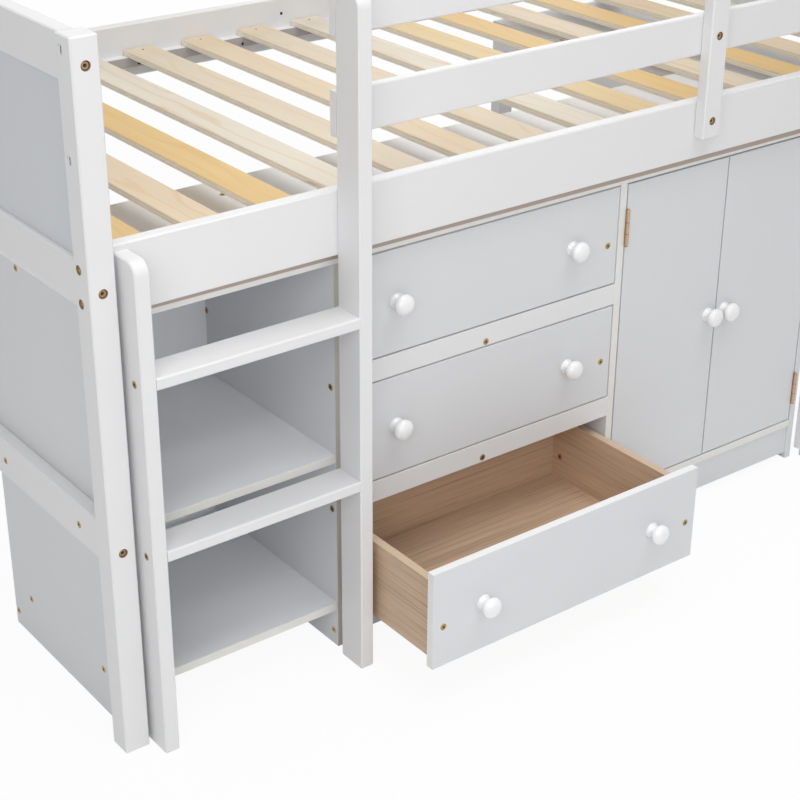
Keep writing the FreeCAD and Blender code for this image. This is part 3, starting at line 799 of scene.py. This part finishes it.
class LOFTBED_OT_knobs(bpy.types.Operator):
    """Turn the round knobs of the drawers and doors"""

    bl_idname = "loftbed.knobs"
    bl_label = "Turn the knobs"

    def execute(self, context):
        gloss = gloss_paint("gloss_white_knob", context.scene.loftbed_paint.knob_white)
        owners = {"drawer_%d_knobs" % number: "drawer_%d" % number for number in DRAWERS}
        owners["left_door_knob"] = "left_door"
        owners["right_door_knob"] = "right_door"
        for node, body in owners.items():
            low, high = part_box(node)
            radius = (high.z - low.z) / 2
            middle = (low.z + high.z) / 2
            spots = [
                (Vector((x, high.y, middle)), FORWARDS) for x in sorted({low.x + radius, high.x - radius})]
            # A node as wide as one knob holds only one
            if spots[-1][0].x - spots[0][0].x < radius:
                spots = spots[:1]
            name = "turned_" + node
            mesh = turned_mesh(name, knob_outline(high.y - low.y, radius), spots, KNOB_FLATS)
            piece = link_piece(name, mesh, gloss, body, ROUND)
            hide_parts(node)
        return {"FINISHED"}


def bolt_spots():
    """Places of the frame bolts, and of the two recesses that have plugs instead."""
    bolts, plugs = [], []
    rail_low, rail_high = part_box("front_side_rail")
    rail_middle = (rail_low.z + rail_high.z) / 2
    for end, x_way in ENDS.items():
        for side, y_way in SIDES.items():
            post = "%s_%s_post" % (side, end)
            low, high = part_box(post)
            middle = (high.x - low.x) / 2
            for level in END_RAIL_LEVELS:
                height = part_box("%s_%s_rail" % (end, level))[0].z + END_BOLT_RISE
                bolts.append(on_face(post, "y", y_way, middle, height))
            across = LONG_BOLT_INSET if y_way < 0 else -LONG_BOLT_INSET
            for height in (rail_middle - RAIL_BOLT_SPREAD / 2, rail_middle + RAIL_BOLT_SPREAD / 2):
                bolts.append(on_face(post, "x", x_way, across, height))
            if side == "front":
                for board in GUARD_BOARDS:
                    board_low, board_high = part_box(board)
                    height = board_low.z + GUARD_BOLT_SHARE * (board_high.z - board_low.z)
                    (bolts if end == "right" else plugs).append(on_face(post, "x", x_way, across, height))
    low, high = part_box("guard_post")
    middle = (high.x - low.x) / 2
    heights = [GUARD_POST_BOLT_RISE]
    for board in GUARD_BOARDS:
        board_low, board_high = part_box(board)
        heights.append((board_low.z + board_high.z) / 2 - low.z)
    bolts += [on_face("guard_post", "y", -1, middle, height) for height in heights]
    return bolts, plugs


class LOFTBED_OT_bolts(bpy.types.Operator):
    """Set the frame bolts and the plugs in their recesses"""

    bl_idname = "loftbed.bolts"
    bl_label = "Set the frame bolts"

    def execute(self, context):
        settings = context.scene.loftbed_fasteners
        bolts, plugs = bolt_spots()
        head = settings.bolt_radius
        wall = settings.recess_radius - RECESS_PLAY
        floor = RECESS_PLAY - settings.recess_depth
        raw = raw_recess("raw_wood_recess", context.scene.loftbed_timber.raw_wood)
        plate = plated("bolt_plating", settings.copper, 0.30)
        dark = plated("dark_metal", settings.dark, 0.5)
        white = gloss_paint("white_plug", context.scene.loftbed_paint.paint)
        mesh = turned_mesh("bolt_recess_linings", lining_outline(wall, floor), bolts, BOLT_FLATS)
        link_piece("bolt_recess_linings", mesh, raw, "bed")
        mesh = turned_mesh("frame_bolt_heads", bolt_outline(head, floor), bolts, BOLT_FLATS)
        link_piece("frame_bolt_heads", mesh, plate, "bed")
        # A dark disc in each bolt head is painted shade of its driver socket
        mesh = turned_mesh("frame_bolt_sockets", socket_outline(head), bolts, SOCKET_FLATS)
        link_piece("frame_bolt_sockets", mesh, dark, "bed")
        mesh = turned_mesh("recess_plugs", plug_outline(wall, floor), plugs, BOLT_FLATS)
        link_piece("recess_plugs", mesh, white, "bed")
        # A dark bar on each plug is painted shade of its slot
        mesh = bar_mesh(
            "recess_plug_slots", plugs, PLUG_SLOT_TURNS, PLUG_SLOT_REACH, PLUG_SLOT_HALF, PLUG_TOP)
        link_piece("recess_plug_slots", mesh, dark, "bed")
        return {"FINISHED"}


def screw_spots():
    """Places of the screw heads by the body that carries them."""
    bed = [on_face("left_low_rail", "x", -1, *spot) for spot in LOW_RAIL_SCREWS]
    for spot in SIDE_PANEL_SCREWS:
        bed.append(on_face("cabinet_left_panel", "x", -1, *spot))
        bed.append(on_face("cabinet_right_panel", "x", 1, *spot))
    rung_low, rung_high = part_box("ladder_rungs")
    for height in (rung_low.z + RUNG_SCREW_INSET, rung_high.z - RUNG_SCREW_INSET):
        bed.append(on_face("ladder_left_stile", "x", -1, STILE_SCREW_INSET, height))
        bed.append(on_face("ladder_right_stile", "x", 1, STILE_SCREW_INSET, height))
    rail_low, rail_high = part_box("drawer_rails")
    for height in (LOWER_RAIL_SCREW_RISE, rail_high.z - rail_low.z - UPPER_RAIL_SCREW_DROP):
        bed.append(on_face("drawer_rails", "y", -1, (rail_high.x - rail_low.x) / 2, height))
    bed += [on_face("cabinet_left_divider", "x", -1, *spot) for spot in DIVIDER_SCREWS]
    top_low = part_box("cabinet_top")[0]
    for divider in ("cabinet_left_divider", "cabinet_right_divider"):
        low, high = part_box(divider)
        for back in CABINET_TOP_SCREWS_IN:
            bed.append(on_face("cabinet_top", "z", 1, (low.x + high.x) / 2 - top_low.x, back))
    spots = {"bed": bed}
    for number in DRAWERS:
        heads = [on_face("drawer_%d_front" % number, "y", -1, *spot) for spot in DRAWER_FRONT_SCREWS]
        low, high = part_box("drawer_%d_box" % number)
        for x, way in ((low.x + BOX_SIDE, 1), (high.x - BOX_SIDE, -1)):
            place = Vector((x, high.y - BOX_SCREW_INSET, low.z + BOX_SCREW_RISE))
            heads.append((place, Vector((way, 0, 0))))
        spots["drawer_%d" % number] = heads
    spots["desk"] = [on_face("desk_top", "z", 1, *spot) for spot in DESK_TOP_SCREWS]
    return spots


class LOFTBED_OT_screws(bpy.types.Operator):
    """Drive the brass screws"""

    bl_idname = "loftbed.screws"
    bl_label = "Drive the screws"

    def execute(self, context):
        settings = context.scene.loftbed_fasteners
        brass = plated("screw_brass", settings.brass, 0.28)
        dark = plated("screw_cross", settings.dark, 0.5)
        radius = settings.screw_radius
        for body, spots in screw_spots().items():
            name = "%s_screws" % body
            mesh = turned_mesh(name, screw_outline(radius), spots, SCREW_FLATS)
            link_piece(name, mesh, brass, body)
            # Dark crossed bars on each head are painted shade of the driver slots
            name += "_crosses"
            mesh = bar_mesh(name, spots, CROSS_TURNS, radius * 0.44, radius * 0.13, SCREW_PROUD * 1.8)
            link_piece(name, mesh, dark, body)
        return {"FINISHED"}


class LOFTBED_OT_hinges(bpy.types.Operator):
    """Plate the butt hinges and fit their pins"""

    bl_idname = "loftbed.hinges"
    bl_label = "Fit the hinge pins"

    def execute(self, context):
        settings = context.scene.loftbed_fasteners
        bronze = plated("hinge_bronze", settings.bronze, 0.30)
        dress(bronze, "hinge_frame_leaves", "left_hinge_leaves", "right_hinge_leaves")
        half = settings.hinge_length / 2
        pitch = settings.hinge_length / settings.hinge_knuckles
        hinges = [joint for joint in frame["joints"] if joint["type"] == "hinge"]
        radius = hinges[0]["pos_m"][1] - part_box("hinge_frame_leaves")[0].y
        middles = []
        for joint in hinges:
            x, y, _ = joint["pos_m"]
            low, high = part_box(joint["child"].replace("door", "hinge_leaves"))
            middles += [Vector((x, y, low.z + half)), Vector((x, y, high.z - half))]
        tips = [(middle + UP * half, UP) for middle in middles]
        tips += [(middle - UP * half, -UP) for middle in middles]
        pale = plated("hinge_pin_tips", settings.brass, 0.22)
        mesh = turned_mesh("hinge_pin_tips", pin_tip_outline(radius), tips, PIN_FLATS)
        link_piece("hinge_pin_tips", mesh, pale, "bed", ROUND)
        # Dark rings between the knuckles are painted shade of the gaps between them
        seams = []
        for middle in middles:
            for index in range(1, settings.hinge_knuckles):
                seams.append((middle + UP * (index * pitch - half), UP))
        dark = plated("hinge_seams", settings.dark, 0.5)
        mesh = turned_mesh("hinge_seams", seam_outline(radius), seams, PIN_FLATS)
        link_piece("hinge_seams", mesh, dark, "bed")
        return {"FINISHED"}


class LOFTBED_OT_nails(bpy.types.Operator):
    """Nail the slats to their ledgers and screw the ledgers to the rails"""

    bl_idname = "loftbed.nails"
    bl_label = "Nail the slats"

    def execute(self, context):
        settings = context.scene.loftbed_fasteners
        dark = plated("nail_steel", settings.dark, 0.45)
        _, width, pitch = slat_layout()
        spots = []
        for index in range(SLAT_COUNT):
            along = width / 2 + index * pitch
            for inset in (settings.nail_inset, -settings.nail_inset):
                spots.append(on_face("bed_slats", "z", 1, along, inset))
        radius = settings.nail_radius
        mesh = turned_mesh("slat_nails", nail_outline(radius), spots, NAIL_FLATS)
        link_piece("slat_nails", mesh, dark, "bed")
        low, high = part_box("slat_ledgers")
        section = high.z - low.z
        height = low.z + section * LEDGER_SCREW_SHARE
        spots = []
        for step in LEDGER_STEPS:
            x = LEDGER_FIRST_X + step * settings.ledger_pitch
            spots.append((Vector((x, high.y - section, height)), FORWARDS))
            spots.append((Vector((x, low.y + section, height)), BACKWARDS))
        spots.append(on_face("back_side_rail", "y", -1, *BACK_RAIL_SCREW))
        head = nail_outline(radius * LEDGER_HEAD_SHARE)
        mesh = turned_mesh("ledger_screws", head, spots, LEDGER_SCREW_FLATS)
        link_piece("ledger_screws", mesh, dark, "bed")
        return {"FINISHED"}


class LOFTBED_OT_stage(bpy.types.Operator):
    """Lay the floor and set the lights and the camera"""

    bl_idname = "loftbed.stage"
    bl_label = "Set the stage"

    def execute(self, context):
        settings = context.scene.loftbed_stage
        self.lay_floor(context.scene, settings)
        self.light(context.scene, settings)
        self.aim(context.scene, settings)
        context.scene.view_settings.view_transform = "Standard"
        return {"FINISHED"}

    def lay_floor(self, scene, settings):
        """A wide floor that the camera sees almost white, with the shadow of the bed."""
        mesh = bpy.data.meshes.new("studio_floor")
        corners = [(x * FLOOR_HALF, y * FLOOR_HALF, 0) for x, y in ((-1, -1), (1, -1), (1, 1), (-1, 1))]
        mesh.from_pydata(corners, [], [(0, 1, 2, 3)])
        floor = bpy.data.objects.new("studio_floor", mesh)
        floor.location.z = -FLOOR_DROP
        scene.collection.objects.link(floor)
        material, tools, place, _ = new_material("studio_floor")
        seen = seen_directly(tools)
        lit = tools.node("ShaderNodeBsdfDiffuse", None, {"Color": (*settings.floor, 1.0)})
        white = tools.node("ShaderNodeEmission", None, {"Color": (1.0, 1.0, 1.0, 1.0), "Strength": 1.0})
        distance = tools.node("ShaderNodeVectorMath", {"operation": "LENGTH"}, {0: place}, "Value")
        far = ((distance - WHITE_FROM) / WHITE_OVER).clamped()
        whiteness = settings.floor_glow + far * (1.0 - settings.floor_glow)
        glow = tools.node("ShaderNodeMixShader", None, {0: seen * whiteness, 1: lit, 2: white})
        tools.node("ShaderNodeOutputMaterial", None, {"Surface": glow})
        mesh.materials.append(material)

    def light(self, scene, settings):
        """Even light from all round, which the camera sees as white, and the soft boxes."""
        world = bpy.data.worlds.new("studio_world")
        world.use_nodes = True
        world.node_tree.nodes.clear()
        tools = Shade(world.node_tree)
        soft = settings.sky + seen_directly(tools) * (1.0 - settings.sky)
        sky = tools.node("ShaderNodeBackground", None, {"Color": (1.0, 1.0, 1.0, 1.0), "Strength": soft})
        tools.node("ShaderNodeOutputWorld", None, {"Surface": sky})
        scene.world = world
        for name, (place, target, size) in LAMPS.items():
            lamp = bpy.data.lights.new(name, "AREA")
            lamp.shape = "SQUARE"
            lamp.size = size
            lamp.energy = getattr(settings, name)
            box = bpy.data.objects.new(name, lamp)
            box.location = place
            aim = Vector(target) - Vector(place)
            box.rotation_euler = aim.to_track_quat("-Z", "Y").to_euler()
            box.visible_camera = False
            scene.collection.objects.link(box)

    def aim(self, scene, settings):
        """The camera, placed as it was fitted to the photo."""
        camera = bpy.data.cameras.new("photo_camera")
        camera.sensor_width = SENSOR_WIDTH
        camera.lens = settings.lens
        camera.clip_end = CLIP_END
        eye = bpy.data.objects.new("photo_camera", camera)
        eye.location = CAMERA_PLACE
        eye.rotation_euler = (settings.pitch, settings.roll, settings.heading)
        scene.collection.objects.link(eye)
        scene.camera = eye


class LOFTBED_PT_sidebar(bpy.types.Panel):
    """The settings and the steps that finish the bed"""

    bl_idname = "LOFTBED_PT_sidebar"
    bl_label = "Loft bed"
    bl_space_type = "VIEW_3D"
    bl_region_type = "UI"
    bl_category = "Loft bed"

    def draw(self, context):
        for name, settings in SETTINGS.items():
            box = self.layout.box()
            group = getattr(context.scene, name)
            for prop in settings.__annotations__:
                box.prop(group, prop)
        for operator in OPERATORS:
            self.layout.operator(operator.bl_idname)


SETTINGS = {
    "loftbed_paint": PaintSettings,
    "loftbed_timber": TimberSettings,
    "loftbed_fasteners": FastenerSettings,
    "loftbed_stage": StageSettings,
}
OPERATORS = (
    LOFTBED_OT_paint, LOFTBED_OT_panels, LOFTBED_OT_timber, LOFTBED_OT_knobs, LOFTBED_OT_bolts,
    LOFTBED_OT_screws, LOFTBED_OT_hinges, LOFTBED_OT_nails, LOFTBED_OT_stage,
)


def register():
    """Add the settings, steps and panel."""
    for name, settings in SETTINGS.items():
        bpy.utils.register_class(settings)
        setattr(bpy.types.Scene, name, bpy.props.PointerProperty(type=settings))
    for step in (*OPERATORS, LOFTBED_PT_sidebar):
        bpy.utils.register_class(step)


def unregister():
    """Take them away again."""
    for step in (LOFTBED_PT_sidebar, *reversed(OPERATORS)):
        bpy.utils.unregister_class(step)
    for name, settings in reversed(SETTINGS.items()):
        delattr(bpy.types.Scene, name)
        bpy.utils.unregister_class(settings)


def main():
    """Finish the bed and set the stage."""
    register()
    for step in OPERATORS:
        family, action = step.bl_idname.split(".")
        getattr(getattr(bpy.ops, family), action)()


if __name__ == "__main__":
    main()
